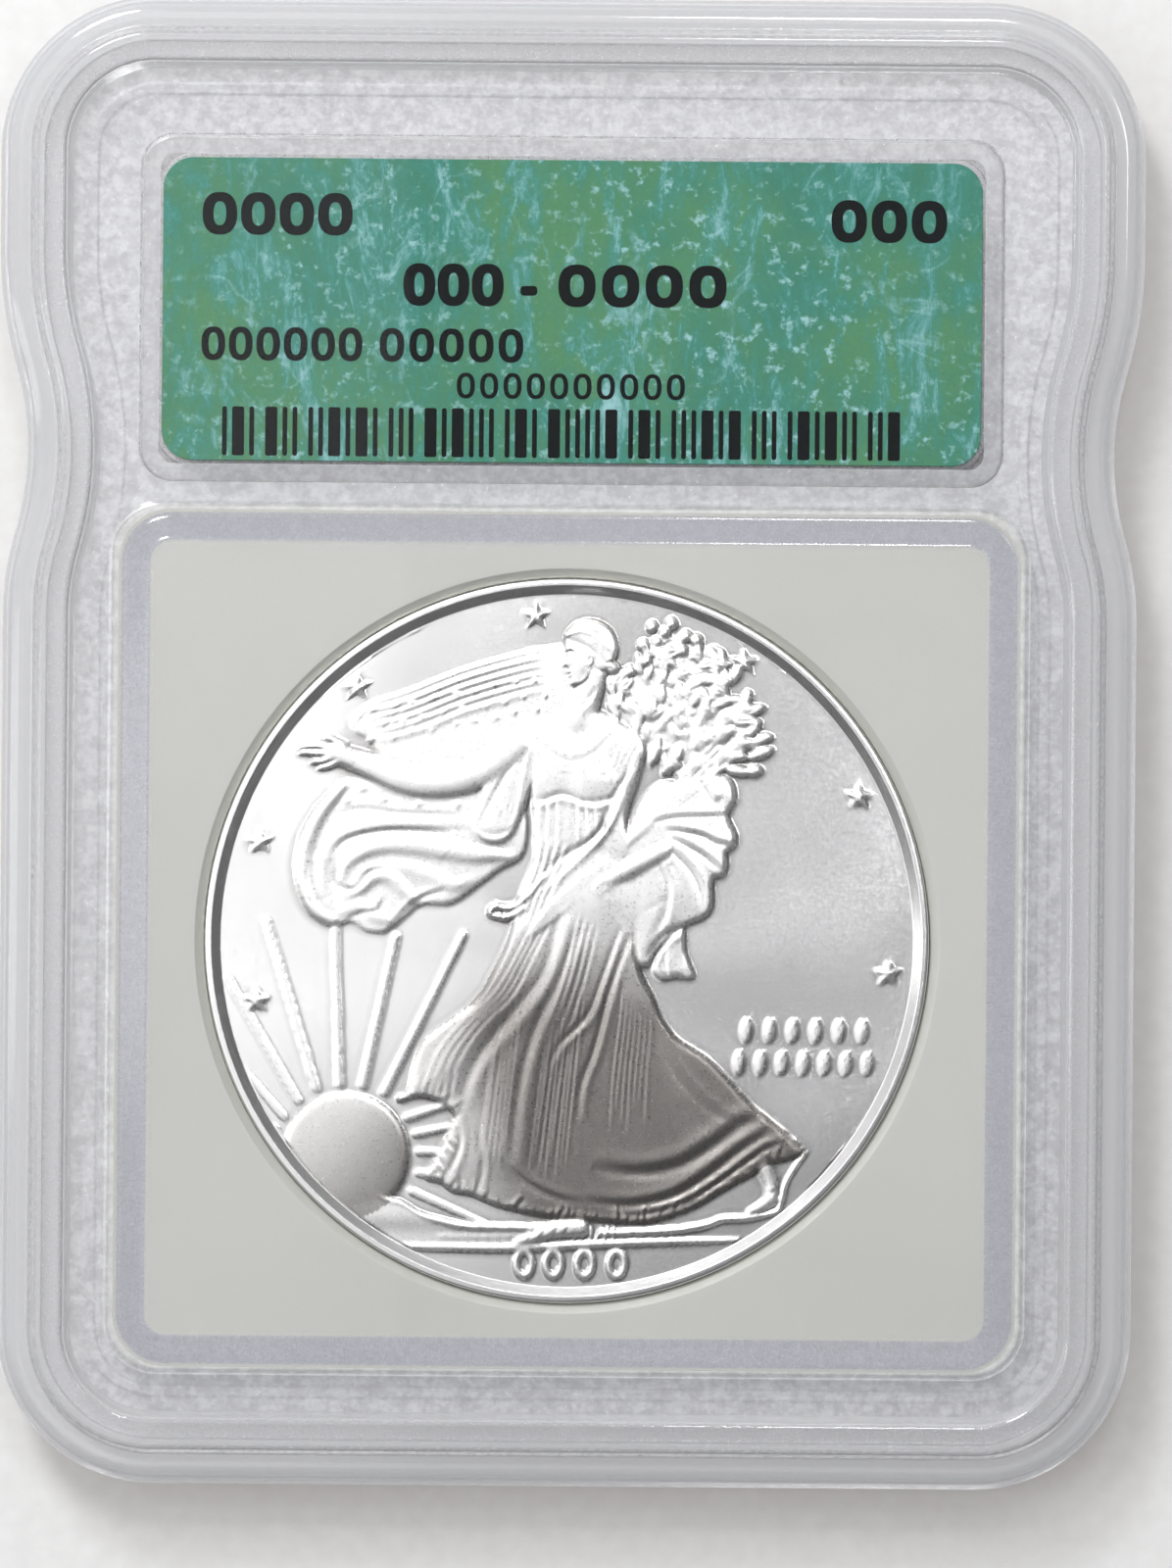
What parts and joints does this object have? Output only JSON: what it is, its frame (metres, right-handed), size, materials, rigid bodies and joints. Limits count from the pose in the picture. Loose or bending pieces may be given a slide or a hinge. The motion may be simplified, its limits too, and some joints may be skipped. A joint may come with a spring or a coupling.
{
  "type": "graded coin slab",
  "caption": "Flat clear capsule with a waisted, stepped rim and a raised square window, holding a round coin in a square insert below a printed label card.",
  "frame": {"origin": "centre of the rear rest plane, below the middle of the slab's outline", "axes": "the slab lies on its back: +X across it to the right, +Y towards the label end, +Z out of the front face"},
  "size_m": [0.0642, 0.0834, 0.008],
  "materials": {
    "clear_shell": "gloss",
    "weld": "satin",
    "insert": "matte",
    "silver": "satin",
    "label_card": "satin",
    "foil": "satin"
  },
  "bodies": {
    "holder": {"front_shell": "clear_shell", "rear_shell": "clear_shell", "weld_seam": "weld", "coin_insert": "insert", "grade_label": "label_card", "security_foil": "foil"},
    "coin": {"coin": "silver"}
  },
  "joints": [
    {"name": "coin_turn", "type": "hinge", "parent": "holder", "child": "coin", "pos_m": [0, -0.0111, 0.0042], "axis": [0, 0, 1], "continuous": true}
  ]
}
